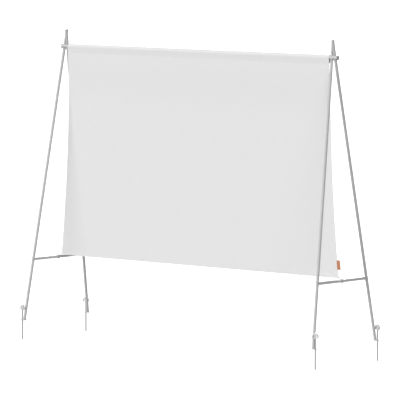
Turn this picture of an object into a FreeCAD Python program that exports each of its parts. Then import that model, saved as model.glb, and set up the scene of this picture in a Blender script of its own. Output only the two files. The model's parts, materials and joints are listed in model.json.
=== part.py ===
import FreeCAD, Part
import math
import os

import Sketcher
from FreeCAD import Placement, Rotation, Vector

# Portable projection screen: a white cloth hung from a top tube by a sleeve, the tube carried by
# two A-frames of thin steel tube. Each A-frame's legs pass through cross-drilled holes in the top
# tube, cross there and are held apart lower down by a spreader with an eye round each leg. Each
# foot has an eye for a ground peg. All lengths are in millimetres.
# Frame: +X to the right seen from the front, +Y to the back, +Z up. The origin lies under the
# middle of the screen, level with the tips of the pegs.

# Driving dimensions: alias, value and meaning.
DIMENSIONS = (
    ("bar_height", 1588, "axis of the top tube above the soles of the feet"),
    ("bar_overhang", 18.25, "end of the top tube, without its cap, beyond the outer leg's axis"),
    ("bar_diameter", 24, "outside of the top tube"),
    ("bar_wall", 1.5, "wall of the top tube"),
    ("bar_cap_thickness", 3, "end cap outside the top tube"),
    ("bar_cap_gap", 2.25, "between the end cap inside the top tube and the leg that crosses it"),
    ("frame_gap", 23, "side edge of the cloth to the middle of a pair of legs, at the top tube"),
    ("leg_pitch", 22.5, "distance along the top tube between the two legs of a pair"),
    ("leg_diameter", 16, "outside of a leg tube"),
    ("leg_wall", 1.2, "wall of a leg tube"),
    ("leg_above_bar", 97, "leg tube above the axis of the top tube, along the leg"),
    ("leg_cap_thickness", 3, "plug outside the upper end of a leg"),
    ("leg_cap_spigot", 12, "length of the plug inside the leg"),
    ("foot_depth", 266.5, "foot in front of or behind the top tube"),
    ("foot_splay", 82.5, "foot further out than its leg is at the top tube"),
    ("collar_width", 2, "stop collar proud of the leg tube"),
    ("collar_height", 4, "stop collar along the leg"),
    ("spreader_height", 355, "axis of a spreader above the soles"),
    ("spreader_diameter", 16, "outside of a spreader tube"),
    ("spreader_wall", 1.2, "wall of a spreader tube"),
    ("eye_wall", 1, "wall of the thin eye at a spreader's end, round a leg"),
    ("eye_height", 20, "spreader's eye along the leg"),
    ("foot_plate_thickness", 6, "plate under a foot"),
    ("foot_plate_radius", 10, "both round ends of the foot plate"),
    ("foot_spigot_height", 30, "top of the foot's spigot inside the leg above the sole, along the leg"),
    ("peg_offset", 15, "peg's axis further out than the leg's, at the sole"),
    ("peg_diameter", 8, "shaft of a peg"),
    ("peg_below_sole", 114, "tip of a peg below the soles"),
    ("peg_above_sole", 92, "top of a peg's head above the soles"),
    ("peg_point", 7, "pointed end of a peg"),
    ("peg_point_flat", 3, "width of the blunt tip"),
    ("head_width", 36, "peg's head over both arms"),
    ("head_height", 35, "peg's head from its neck to its crown"),
    ("head_thickness", 12, "peg's head from face to face"),
    ("head_arm", 7.5, "width of an arm"),
    ("head_arm_rise", 6, "lower end of the arms above the end of the neck"),
    ("head_neck_diameter", 13, "neck round the shaft"),
    ("head_roof", 10, "head above the end of the shaft"),
    ("head_web", 12, "crown down to the roof of the gaps beside the neck"),
    ("head_round", 2, "rounding of the head's long edges"),
    ("cloth_top_width", 1924, "screen cloth at the top tube"),
    ("cloth_flare", 60, "side edge further out than at the top, just above the lower corner"),
    ("corner_pull", 6, "tip of a lower corner further out than that"),
    ("corner_height", 26, "pulled corner along the side edge"),
    ("cloth_drop", 1220, "axis of the top tube down to the lower edge of the cloth"),
    ("cloth_thickness", 1.5, "hemmed cloth"),
    ("sleeve_slack", 0.4, "sleeve clear of the top tube"),
    ("sleeve_drop", 27, "axis of the top tube down to the sleeve's seam"),
    ("tag_height", 52, "ribbon tag along the edge of the cloth"),
    ("tag_reach", 19, "ribbon tag proud of the edge of the cloth"),
    ("tag_sewn_width", 3, "ribbon tag sewn onto the cloth"),
    ("tag_thickness", 0.8, "one layer of the ribbon"),
    ("tag_rise", 47, "lower end of the tag above the cloth's corner"),
    ("cord_diameter", 4, "cord of a corner tie"),
    ("cord_sewn_length", 9, "cord sewn into the cloth's corner"),
    ("knot_diameter", 10, "knot of a corner tie"),
    ("run_clearance", 0.25, "round a leg or a peg that slides"),
    ("fit_clearance", 0.05, "round pieces that are glued, pressed or welded together"),
    ("edge_chamfer", 0.6, "broken edges of a stop collar"),
    ("overrun", 5, "length by which a cutter passes what it cuts"),
    ("same_place", 0.02, "distance at which two points count as one when edges are picked"),
)
# Shares, chosen by hand, of the sizes that they follow.
SIDE_EDGE_share = 0.22     # of the cloth's flare, reached half way down its side edge
KNOT_PLACE_share = 0.36    # of the way from the cloth's corner to the spreader
ARM_ROUND_share = 0.45     # of the width of a peg head's arm, rounding its lower end
HEAD_TURN_DEGREES = 20     # peg's head turned off the screen's line, away from the leg

# Feet: name, side of the screen (-1 left, 1 right) and end of the A-frame (-1 front, 1 rear).
FEET = (
    ("front_left", -1, -1),
    ("front_right", 1, -1),
    ("rear_left", -1, 1),
    ("rear_right", 1, 1),
)
SIDES = (("left", -1), ("right", 1))
# The spreader between the axes of its two legs, and a leg from its sole to the axis of the top
# tube, as expressions.
SPREADER_RUN = ("sqrt(Sizes.leg_pitch ^ 2"
                " + (2 * Sizes.foot_depth * (1 - Sizes.spreader_height / Sizes.bar_height)) ^ 2)")
LEG_RUN = "sqrt(Sizes.bar_height ^ 2 + Sizes.foot_depth ^ 2 + Sizes.foot_splay ^ 2)"

doc = FreeCAD.newDocument("projection_screen")
sheet = doc.addObject("Spreadsheet::Sheet", "Sizes")
finished = []


def fill_sheet():
    """Writes every driving dimension into the spreadsheet, with its alias and meaning."""
    for row, (alias, number, meaning) in enumerate(DIMENSIONS, start=1):
        sheet.set(f"A{row}", meaning)
        sheet.set(f"B{row}", str(number))
        sheet.setAlias(f"B{row}", alias)
    doc.recompute()


def size(alias):
    """The value of one driving dimension."""
    return float(sheet.get(alias))


def measure(terms):
    """The value of a sum of driving dimensions, given as (factor, alias) pairs."""
    return sum(factor * size(alias) for factor, alias in terms)


def formula(terms):
    """The same sum as an expression that a property can be bound to. A ready expression passes."""
    if isinstance(terms, str):
        return terms
    return " + ".join(f"({factor}) * Sizes.{alias}" for factor, alias in terms)


def finish(piece, label):
    """Gives a finished sub-part its name and puts it on the list of what is written out."""
    piece.Label = label
    finished.append(piece)
    return piece


# Building blocks


def add_body(label, placement):
    body = doc.addObject("PartDesign::Body", label)
    body.Placement = placement
    return finish(body, label)


def add_sketch(body, name, role):
    """An empty sketch on one of the body's own origin planes."""
    plane = next(item for item in body.Origin.OriginFeatures if item.Role == role)
    sketch = body.newObject("Sketcher::SketchObject", name)
    sketch.AttachmentSupport = [(plane, "")]
    sketch.MapMode = "FlatFace"
    return sketch


def draw_circle(sketch, radius):
    """A circle round the sketch's origin, its radius bound to a sum of dimensions."""
    circle = sketch.addGeometry(Part.Circle(Vector(), Vector(0, 0, 1), measure(radius)), False)
    sketch.addConstraint(Sketcher.Constraint("Coincident", circle, 3, -1, 1))
    index = sketch.addConstraint(Sketcher.Constraint("Radius", circle, measure(radius)))
    sketch.setExpression(f"Constraints[{index}]", formula(radius))


def draw_outline(sketch, corners, arcs):
    """A closed outline, anticlockwise. Its corners, and the middle of each side listed in arcs by
    its number, are pairs of sums of dimensions."""
    points = [Vector(measure(across), measure(along)) for across, along in corners]
    lines = []
    for number, (start, end) in enumerate(zip(points, points[1:] + points[:1])):
        side_curve = Part.LineSegment(start, end)
        if number in arcs:
            across, along = arcs[number]
            side_curve = Part.Arc(start, Vector(measure(across), measure(along)), end)
        lines.append(sketch.addGeometry(side_curve, False))
    for line, following in zip(lines, lines[1:] + lines[:1]):
        sketch.addConstraint(Sketcher.Constraint("Coincident", line, 2, following, 1))
    for line, point, corner in zip(lines, points, corners):
        for kind, value, terms in (("DistanceX", point.x, corner[0]), ("DistanceY", point.y, corner[1])):
            index = sketch.addConstraint(Sketcher.Constraint(kind, -1, 1, line, 1, value))
            sketch.setExpression(f"Constraints[{index}]", formula(terms))
    for number, (across, along) in arcs.items():
        top = sketch.addGeometry(Part.Point(Vector(measure(across), measure(along))), True)
        sketch.addConstraint(Sketcher.Constraint("PointOnObject", top, 1, lines[number]))
        sketch.addConstraint(Sketcher.Constraint("PointOnObject", top, 1, -2))
        index = sketch.addConstraint(Sketcher.Constraint("DistanceY", -1, 1, top, 1, measure(along)))
        sketch.setExpression(f"Constraints[{index}]", formula(along))


def add_pad(body, sketch, name, length, centred=False):
    pad = body.newObject("PartDesign::Pad", name)
    pad.Profile = sketch
    pad.Midplane = centred
    pad.setExpression("Length", formula(length))
    sketch.Visibility = False
    doc.recompute()
    return pad


def add_pocket(body, sketch, name, depth):
    """A pocket from the sketch's plane into the solid above it."""
    before = body.Shape.Volume
    pocket = body.newObject("PartDesign::Pocket", name)
    pocket.Profile = sketch
    pocket.Reversed = True
    pocket.setExpression("Length", formula(depth))
    sketch.Visibility = False
    doc.recompute()
    if body.Shape.Volume >= before:
        raise RuntimeError(f"{name} in {body.Label} cuts nothing")
    return pocket


def edges_at(shape, wanted):
    """Names of the edges whose midpoint passes the test."""
    names = []
    for number, edge in enumerate(shape.Edges, start=1):
        middle = edge.valueAt((edge.FirstParameter + edge.LastParameter) / 2)
        if wanted(edge, middle):
            names.append(f"Edge{number}")
    return names


def dress_edges(body, kind, name, wanted, terms):
    """A fillet or chamfer on the edges of the body's last feature that pass the test."""
    base = body.Tip
    edges = edges_at(base.Shape, wanted)
    if not edges:
        raise RuntimeError(f"{name} in {body.Label} finds no edges")
    dressing = body.newObject(f"PartDesign::{kind}", name)
    dressing.Base = (base, edges)
    dressing.setExpression("Radius" if kind == "Fillet" else "Size", formula(terms))
    doc.recompute()


def add_cylinder(name, radius, height, placement):
    cylinder = doc.addObject("Part::Cylinder", name)
    cylinder.setExpression("Radius", formula(radius))
    cylinder.setExpression("Height", formula(height))
    cylinder.Placement = placement
    return cylinder


def fuse(name, shapes):
    fused = doc.addObject("Part::MultiFuse", name)
    fused.Shapes = shapes
    fused.Refine = True
    return fused


def cut(name, base, tool):
    trimmed = doc.addObject("Part::Cut", name)
    trimmed.Base = base
    trimmed.Tool = tool
    trimmed.Refine = True
    return trimmed


# Lines of the A-frames


def sole_level():
    return size("peg_below_sole")


def leg_crossing(side, end):
    """Where a leg's axis crosses the axis of the top tube."""
    middle = size("cloth_top_width") / 2 + size("frame_gap")
    along_bar = side * middle + end * size("leg_pitch") / 2
    return Vector(along_bar, 0, sole_level() + size("bar_height"))


def leg_foot(side, end):
    """Where a leg's axis meets the level of the soles."""
    crossing = leg_crossing(side, end)
    return Vector(crossing.x + side * size("foot_splay"), end * size("foot_depth"), sole_level())


def leg_direction(side, end):
    direction = leg_crossing(side, end) - leg_foot(side, end)
    return direction.normalize()


def leg_turn(side, end):
    return Rotation(Vector(0, 0, 1), leg_direction(side, end))


def on_leg(side, end, distance):
    """A placement on a leg's axis, at a distance above its sole, with Z up the leg."""
    point = leg_foot(side, end) + leg_direction(side, end) * distance
    return Placement(point, leg_turn(side, end))


def leg_run():
    """From the sole to the axis of the top tube, along a leg."""
    return (leg_crossing(1, 1) - leg_foot(1, 1)).Length


def leg_at_height(side, end, height):
    """The point of a leg's axis at a height above the soles."""
    return leg_foot(side, end) + leg_direction(side, end) * (leg_run() * height / size("bar_height"))


# Top tube


BAR_HALF = [(0.5, "cloth_top_width"), (1, "frame_gap"), (0.5, "leg_pitch"), (1, "bar_overhang")]
BAR_LENGTH = [(2 * factor, alias) for factor, alias in BAR_HALF]


def build_top_bar():
    """The top tube with four slanting holes, through which the legs pass."""
    along_x = Rotation(Vector(0, 0, 1), Vector(1, 0, 0))
    start = Vector(-measure(BAR_HALF), 0, sole_level() + size("bar_height"))
    outside = add_cylinder("bar_outside", [(0.5, "bar_diameter")], BAR_LENGTH, Placement(start, along_x))
    bore = add_cylinder("bar_bore", [(0.5, "bar_diameter"), (-1, "bar_wall")], BAR_LENGTH,
                        Placement(start, along_x))
    drills = []
    for name, side, end in FEET:
        below = leg_run() - size("bar_diameter")
        drills.append(add_cylinder(f"drill_{name}", [(0.5, "leg_diameter"), (1, "run_clearance")],
                                   [(2, "bar_diameter")], on_leg(side, end, below)))
    tube = cut("bar_tube", outside, bore)
    finish(cut("top_bar", tube, fuse("bar_drills", drills)), "top_bar")


def build_bar_cap(label, side):
    """A moulded plug that closes one end of the top tube."""
    outward = Rotation(Vector(0, 0, 1), Vector(side, 0, 0))
    end = Vector(side * measure(BAR_HALF), 0, sole_level() + size("bar_height"))
    body = add_body(f"bar_end_cap_{label}", Placement(end, outward))
    rim = add_sketch(body, f"bar_cap_rim_{label}", "XY_Plane")
    draw_circle(rim, [(0.5, "bar_diameter")])
    add_pad(body, rim, f"bar_cap_disc_{label}", [(1, "bar_cap_thickness")])
    dress_edges(body, "Fillet", f"bar_cap_round_{label}",
                lambda edge, middle: edge.Closed and middle.z > size("same_place"),
                [(0.5, "bar_cap_thickness")])
    core = add_sketch(body, f"bar_cap_core_{label}", "XY_Plane")
    draw_circle(core, [(0.5, "bar_diameter"), (-1, "bar_wall"), (-1, "fit_clearance")])
    spigot = add_pad(body, core, f"bar_cap_spigot_{label}",
                     [(1, "bar_overhang"), (-0.5, "leg_diameter"), (-1, "bar_cap_gap")])
    spigot.Reversed = True
    doc.recompute()


# Legs


def build_leg(name, side, end):
    """One leg: its tube, the plug on top and the stop collar that carries the top tube."""
    base = on_leg(side, end, -size("overrun"))
    length = f"{LEG_RUN} + Sizes.leg_above_bar + Sizes.overrun"
    outside = add_cylinder(f"leg_outside_{name}", [(0.5, "leg_diameter")], length, base)
    bore = add_cylinder(f"leg_bore_{name}", [(0.5, "leg_diameter"), (-1, "leg_wall")], length, base)
    below = add_ground(f"leg_ground_{name}", side, end, [(1, "foot_plate_thickness")])
    tube = cut(f"leg_tube_{name}", outside, fuse(f"leg_waste_{name}", [bore, below]))
    finish(tube, f"leg_tube_{name}")

    cap = add_body(f"leg_cap_{name}", on_leg(side, end, leg_run() + size("leg_above_bar")))
    rim = add_sketch(cap, f"leg_cap_rim_{name}", "XY_Plane")
    draw_circle(rim, [(0.5, "leg_diameter")])
    add_pad(cap, rim, f"leg_cap_disc_{name}", [(1, "leg_cap_thickness")])
    dress_edges(cap, "Fillet", f"leg_cap_round_{name}",
                lambda edge, middle: edge.Closed and middle.z > size("same_place"),
                [(0.5, "leg_cap_thickness")])
    core = add_sketch(cap, f"leg_cap_core_{name}", "XY_Plane")
    draw_circle(core, [(0.5, "leg_diameter"), (-1, "leg_wall"), (-1, "fit_clearance")])
    spigot = add_pad(cap, core, f"leg_cap_spigot_{name}", [(1, "leg_cap_spigot")])
    spigot.Reversed = True
    doc.recompute()

    collar = add_body(f"leg_collar_{name}", on_leg(side, end, collar_base(side, end)))
    band = add_sketch(collar, f"collar_band_{name}", "XY_Plane")
    draw_circle(band, [(0.5, "leg_diameter"), (1, "collar_width")])
    draw_circle(band, [(0.5, "leg_diameter"), (1, "fit_clearance")])
    add_pad(collar, band, f"collar_height_{name}", [(1, "collar_height")])
    outer = size("leg_diameter") / 2 + size("collar_width")
    dress_edges(collar, "Chamfer", f"collar_chamfer_{name}",
                lambda edge, middle: is_ring(edge, outer), [(1, "edge_chamfer")])


def is_ring(edge, radius):
    """Whether an edge is a full circle of this radius."""
    round_edge = edge.Closed and isinstance(edge.Curve, Part.Circle)
    return round_edge and abs(edge.Curve.Radius - radius) < size("same_place")


def collar_base(side, end):
    """Lower face of the stop collar along the leg, so that the top tube rests on the collar."""
    lean = abs(leg_direction(side, end).x)
    upright = math.sqrt(1 - lean ** 2)
    tube = size("bar_diameter") / 2 + size("run_clearance")
    collar = size("leg_diameter") / 2 + size("collar_width")
    return leg_run() - (tube + collar * lean) / upright - size("collar_height")


# Feet


def add_ground(name, side, end, level):
    """A block round a foot that ends at a level above the sole, to cut off what is below it."""
    reach = size("foot_plate_radius") + size("overrun")
    ground = doc.addObject("Part::Box", name)
    for side_name in ("Length", "Width"):
        ground.setExpression(side_name, formula([(2, "foot_plate_radius"), (2, "overrun")]))
    ground.setExpression("Height", formula([(2, "overrun")] + level))
    corner = leg_foot(side, end) + Vector(-reach, -reach, -2 * size("overrun"))
    ground.Placement = Placement(corner, Rotation())
    return ground


def build_foot(name, side, end):
    """A foot: a flat plate with an eye for the peg, and a spigot that fills the end of the leg."""
    sole = leg_foot(side, end)
    eye = peg_axis(side, end)
    plate = [(1, "foot_plate_thickness")]
    round_end = [(1, "foot_plate_radius")]
    under_leg = add_cylinder(f"foot_heel_{name}", round_end, plate, Placement(sole, Rotation()))
    round_peg = add_cylinder(f"foot_eye_{name}", round_end, plate, Placement(eye, Rotation()))
    bridge = doc.addObject("Part::Box", f"foot_bridge_{name}")
    bridge.setExpression("Length", formula([(1, "peg_offset")]))
    bridge.setExpression("Width", formula([(2, "foot_plate_radius")]))
    bridge.setExpression("Height", formula(plate))
    inner = min(sole.x, eye.x)
    bridge.Placement = Placement(Vector(inner, sole.y - size("foot_plate_radius"), sole.z), Rotation())
    spigot = add_cylinder(f"foot_spigot_{name}",
                          [(0.5, "leg_diameter"), (-1, "leg_wall"), (-1, "fit_clearance")],
                          [(1, "foot_spigot_height"), (-0.5, "foot_plate_thickness")],
                          on_leg(side, end, size("foot_plate_thickness") / 2))
    blank = fuse(f"foot_blank_{name}", [under_leg, round_peg, bridge, spigot])
    peg_hole = add_cylinder(f"foot_peg_hole_{name}", [(0.5, "peg_diameter"), (1, "run_clearance")],
                            [(1, "foot_plate_thickness"), (2, "overrun")],
                            Placement(eye - Vector(0, 0, size("overrun")), Rotation()))
    finish(cut(f"foot_{name}", blank, peg_hole), f"foot_{name}")


# Pegs


def peg_axis(side, end):
    """Point of a peg's axis at the level of the soles."""
    return leg_foot(side, end) + Vector(side * size("peg_offset"), 0, 0)


def build_peg_shaft(name, side, end):
    """A round steel shaft with a short, blunt point."""
    tip = peg_axis(side, end) - Vector(0, 0, size("peg_below_sole"))
    point = doc.addObject("Part::Cone", f"peg_point_{name}")
    point.setExpression("Radius1", formula([(0.5, "peg_point_flat")]))
    point.setExpression("Radius2", formula([(0.5, "peg_diameter")]))
    point.setExpression("Height", formula([(1, "peg_point")]))
    point.Placement = Placement(tip, Rotation())
    rod = add_cylinder(f"peg_rod_{name}", [(0.5, "peg_diameter")],
                       [(1, "peg_below_sole"), (1, "peg_above_sole"), (-1, "peg_point"), (-1, "head_roof")],
                       Placement(tip + Vector(0, 0, size("peg_point")), Rotation()))
    finish(fuse(f"peg_shaft_{name}", [point, rod]), f"peg_shaft_{name}")


def build_peg_head(name, side, end):
    """A moulded head: a domed crown, two arms down beside the neck, and a socket for the shaft."""
    turn = -side * end * HEAD_TURN_DEGREES
    neck_end = peg_axis(side, end) + Vector(0, 0, size("peg_above_sole") - size("head_height"))
    body = add_body(f"peg_head_{name}", Placement(neck_end, Rotation(Vector(0, 0, 1), turn)))

    arch = add_sketch(body, f"head_arch_{name}", "XZ_Plane")
    outer = [(0.5, "head_width")]
    inner = [(0.5, "head_width"), (-1, "head_arm")]
    arm_end = [(1, "head_arm_rise")]
    dome_end = [(1, "head_height"), (-0.5, "head_width")]
    roof = [(1, "head_height"), (-1, "head_web")]
    right = [(inner, roof), (inner, arm_end), (outer, arm_end), (outer, dome_end)]
    left = [([(-factor, alias) for factor, alias in across], along) for across, along in reversed(right)]
    draw_outline(arch, right + left, {len(right) - 1: ([], [(1, "head_height")])})
    add_pad(body, arch, f"head_plate_{name}", [(1, "head_thickness")], centred=True)
    dress_edges(body, "Fillet", f"head_corners_{name}", is_arm_corner, [(ARM_ROUND_share, "head_arm")])
    dress_edges(body, "Fillet", f"head_rims_{name}",
                lambda edge, middle: abs(abs(middle.y) - size("head_thickness") / 2) < size("same_place"),
                [(1, "head_round")])

    neck = add_sketch(body, f"head_neck_{name}", "XY_Plane")
    draw_circle(neck, [(0.5, "head_neck_diameter")])
    add_pad(body, neck, f"head_boss_{name}", [(1, "head_height"), (-0.5, "head_web")])
    socket = add_sketch(body, f"head_socket_{name}", "XY_Plane")
    draw_circle(socket, [(0.5, "peg_diameter"), (1, "fit_clearance")])
    add_pocket(body, socket, f"head_bore_{name}", [(1, "head_height"), (-1, "head_roof")])


def is_arm_corner(edge, middle):
    """Whether an edge crosses a peg's head at the lower end of an arm or at the roof of a gap."""
    across = abs(middle.y) < size("same_place")
    roof = size("head_height") - size("head_web")
    return across and any(abs(middle.z - level) < size("same_place")
                          for level in (size("head_arm_rise"), roof))


# Spreaders


def build_spreader(label, side):
    """The tube between two legs, with an eye round each leg."""
    height = size("spreader_height")
    front = leg_at_height(side, -1, height)
    rear = leg_at_height(side, 1, height)
    outside = doc.addObject("Part::Cylinder", f"spreader_outside_{label}")
    inside = doc.addObject("Part::Cylinder", f"spreader_inside_{label}")
    for cylinder, radius in ((outside, [(0.5, "spreader_diameter")]),
                             (inside, [(0.5, "spreader_diameter"), (-1, "spreader_wall")])):
        cylinder.setExpression("Radius", formula(radius))
        cylinder.setExpression("Height", SPREADER_RUN)
        cylinder.Placement = Placement(front, Rotation(Vector(0, 0, 1), rear - front))
    hollow = cut(f"spreader_hollow_{label}", outside, inside)
    copes = []
    for name, foot_side, end in FEET:
        if foot_side != side:
            continue
        along = (leg_at_height(side, end, height) - leg_foot(side, end)).Length
        copes.append(add_cylinder(f"spreader_cope_{name}", eye_radius() + [(1, "fit_clearance")],
                                  [(2, "spreader_diameter")],
                                  on_leg(side, end, along - size("spreader_diameter"))))
        build_spreader_eye(name, side, end, along)
    finish(cut(f"spreader_tube_{label}", hollow, fuse(f"spreader_copes_{label}", copes)),
           f"spreader_tube_{label}")


def eye_radius():
    return [(0.5, "leg_diameter"), (1, "run_clearance"), (1, "eye_wall")]


def build_spreader_eye(name, side, end, along):
    """A short ring welded to the spreader's end, through which the leg passes."""
    body = add_body(f"spreader_eye_{name}", on_leg(side, end, along - size("eye_height") / 2))
    ring = add_sketch(body, f"eye_ring_{name}", "XY_Plane")
    draw_circle(ring, eye_radius())
    draw_circle(ring, [(0.5, "leg_diameter"), (1, "run_clearance")])
    add_pad(body, ring, f"eye_length_{name}", [(1, "eye_height")])
    outer = measure(eye_radius())
    dress_edges(body, "Chamfer", f"eye_chamfer_{name}",
                lambda edge, middle: is_ring(edge, outer), [(0.5, "eye_wall")])


# Cloth, tag and ties


def sleeve_section(radius, depth):
    """A drop-shaped face round the top tube: an arc, closed by two tangents to a point below."""
    angle = math.asin(radius / depth)
    touch = Vector(0, radius * math.cos(angle), -radius * math.sin(angle))
    mirror = Vector(0, -touch.y, touch.z)
    point = Vector(0, 0, -depth)
    outline = [Part.Arc(touch, Vector(0, 0, radius), mirror).toShape(),
               Part.LineSegment(mirror, point).toShape(),
               Part.LineSegment(point, touch).toShape()]
    return Part.Face(Part.Wire(outline))


def cloth_bottom_half():
    """From the middle of the cloth to the tip of a lower corner."""
    return size("cloth_top_width") / 2 + size("cloth_flare") + size("corner_pull")


def side_edge_points(side):
    """The top, middle and lower end of a side edge's curve, from the axis of the top tube."""
    top = size("cloth_top_width") / 2
    middle = top + size("cloth_flare") * SIDE_EDGE_share
    low = top + size("cloth_flare")
    drop = size("cloth_drop") - size("corner_height")
    return (Vector(side * top, 0, 0), Vector(side * middle, 0, -drop / 2), Vector(side * low, 0, -drop))


def build_cloth():
    """The screen cloth: a sleeve round the top tube and a flat drop with hollow side edges."""
    half = cloth_bottom_half()
    thickness = size("cloth_thickness")
    inner_radius = size("bar_diameter") / 2 + size("sleeve_slack")
    along = Vector(2 * half, 0, 0)
    start = Vector(-half, 0, 0)
    sleeve = sleeve_section(inner_radius + thickness, size("sleeve_drop")).translated(start).extrude(along)
    hollow = sleeve_section(inner_radius, size("sleeve_drop") - thickness).translated(start).extrude(along)
    drop = Part.makeBox(2 * half, thickness, size("cloth_drop") - size("sleeve_drop") + thickness,
                        Vector(-half, -thickness / 2, -size("cloth_drop")))
    blank = sleeve.fuse(drop).cut(hollow)

    left = side_edge_points(-1)
    right = side_edge_points(1)
    above = Vector(0, 0, size("bar_diameter"))
    left_tip = Vector(-half, 0, -size("cloth_drop"))
    right_tip = Vector(half, 0, -size("cloth_drop"))
    outline = Part.Wire([
        Part.LineSegment(left[0] + above, right[0] + above).toShape(),
        Part.LineSegment(right[0] + above, right[0]).toShape(),
        Part.Arc(*right).toShape(),
        Part.LineSegment(right[2], right_tip).toShape(),
        Part.LineSegment(right_tip, left_tip).toShape(),
        Part.LineSegment(left_tip, left[2]).toShape(),
        Part.Arc(*reversed(left)).toShape(),
        Part.LineSegment(left[0], left[0] + above).toShape(),
    ])
    depth = Vector(0, 2 * size("bar_diameter"), 0)
    mask = Part.Face(outline).translated(depth * -0.5).extrude(depth)
    cloth = doc.addObject("Part::Feature", "screen_cloth")
    cloth.Shape = blank.common(mask).removeSplitter()
    cloth.Placement = Placement(Vector(0, 0, sole_level() + size("bar_height")), Rotation())
    finish(cloth, "screen_cloth")


def cloth_corner(side):
    """The tip of a lower corner of the cloth."""
    level = sole_level() + size("bar_height") - size("cloth_drop")
    return Vector(side * cloth_bottom_half(), 0, level)


def side_edge_at(side, rise):
    """The point of a side edge at a height above the cloth's corner."""
    arc = Part.Arc(*side_edge_points(side)).toShape()
    level = -size("cloth_drop") + rise
    line = Part.LineSegment(Vector(0, 0, level), Vector(side * 2 * cloth_bottom_half(), 0, level)).toShape()
    _, pairs, _ = arc.distToShape(line)
    bar = Vector(0, 0, sole_level() + size("bar_height"))
    return pairs[0][0] + bar


def build_tag():
    """A folded ribbon sewn over the right edge of the cloth."""
    edge = side_edge_at(1, size("tag_rise") + size("tag_height") / 2)
    place = Vector(edge.x, 0, edge.z - size("tag_height") / 2)
    body = add_body("side_tag", Placement(place, Rotation()))
    loop = add_sketch(body, "tag_loop", "XY_Plane")
    sewn = [(-1, "tag_sewn_width")]
    reach = [(1, "tag_reach")]
    fold = [(1, "tag_reach"), (-1, "tag_thickness")]
    inner = [(0.5, "cloth_thickness"), (1, "fit_clearance")]
    outer = inner + [(1, "tag_thickness")]
    below_inner = [(-factor, alias) for factor, alias in inner]
    below_outer = [(-factor, alias) for factor, alias in outer]
    draw_outline(loop, [(sewn, below_outer), (reach, below_outer), (reach, outer), (sewn, outer),
                        (sewn, inner), (fold, inner), (fold, below_inner), (sewn, below_inner)], {})
    add_pad(body, loop, "tag_ribbon", [(1, "tag_height")])
    dress_edges(body, "Fillet", "tag_fold",
                lambda edge, middle: is_fold_edge(middle, measure(outer)), [(1, "tag_thickness")])


def is_fold_edge(middle, half_thickness):
    """Whether an edge of the tag runs up the outside of its fold."""
    at_end = abs(middle.x - size("tag_reach")) < size("same_place")
    return at_end and abs(abs(middle.y) - half_thickness) < size("same_place")


def build_tie(label, side):
    """A cord from the cloth's corner round the middle of the spreader and back to its knot."""
    corner = cloth_corner(side)
    height = size("spreader_height")
    centre = (leg_at_height(side, -1, height) + leg_at_height(side, 1, height)) * 0.5
    centre.y = 0
    radius = (size("spreader_diameter") + size("cord_diameter")) / 2 + size("run_clearance")
    reach = centre - corner
    direction = Vector(reach).normalize()
    across = Vector(-direction.z, 0, direction.x)
    if across.z < 0:
        across = across * -1
    lean = math.asin(radius / reach.Length)
    touch_above = centre + (across * math.cos(lean) - direction * math.sin(lean)) * radius
    touch_below = centre - (across * math.cos(lean) + direction * math.sin(lean)) * radius
    far_side = centre + direction * radius
    knot = corner + reach * KNOT_PLACE_share
    root = corner - (touch_above - corner).normalize() * size("cord_sewn_length")
    end = touch_below + (corner - touch_below).normalize() * ((touch_below - knot).Length)
    route = Part.Wire([Part.LineSegment(root, touch_above).toShape(),
                       Part.Arc(touch_above, far_side, touch_below).toShape(),
                       Part.LineSegment(touch_below, end).toShape()])
    section = Part.Wire([Part.makeCircle(size("cord_diameter") / 2, root, touch_above - root)])
    cord = route.makePipeShell([section], True, False)
    expected = math.pi * (size("cord_diameter") / 2) ** 2 * route.Length
    print(f"tie {label}: cord {route.Length:.1f} mm, bend {radius:.2f} mm,"
          f" volume {cord.Volume:.1f} of {expected:.1f} mm3, gap at the knot"
          f" {(end - root).cross(direction).Length:.1f} mm")
    tie = doc.addObject("Part::Feature", f"corner_tie_{label}")
    tie.Shape = cord
    finish(tie, f"corner_tie_{label}")
    ball = doc.addObject("Part::Feature", f"tie_knot_{label}")
    ball.Shape = Part.makeSphere(size("knot_diameter") / 2, knot).cut(cord)
    finish(ball, f"tie_knot_{label}")


def check_objects():
    """Stops if any object failed, or a finished sub-part isn't valid closed solids."""
    for item in doc.Objects:
        if "Invalid" in item.State or "Error" in item.State:
            raise RuntimeError(f"{item.Label} failed: {item.State}")
    for piece in finished:
        shape = piece.Shape
        if shape.isNull() or not shape.isValid() or not shape.Solids:
            raise RuntimeError(f"{piece.Label} has no valid solid")


def write_parts():
    os.makedirs("parts", exist_ok=True)
    for piece in finished:
        piece.Shape.exportStep(os.path.join("parts", f"{piece.Label}.step"))
        box = piece.Shape.BoundBox
        print(f"{piece.Label}: {len(piece.Shape.Solids)} solid, {piece.Shape.Volume / 1000:.2f} cm3,"
              f" z {box.ZMin:.1f} to {box.ZMax:.1f}")


fill_sheet()
build_top_bar()
for label, side in SIDES:
    build_bar_cap(label, side)
    build_spreader(label, side)
    build_tie(label, side)
for name, side, end in FEET:
    build_leg(name, side, end)
    build_foot(name, side, end)
    build_peg_shaft(name, side, end)
    build_peg_head(name, side, end)
build_cloth()
build_tag()
doc.recompute()
check_objects()
write_parts()
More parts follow.
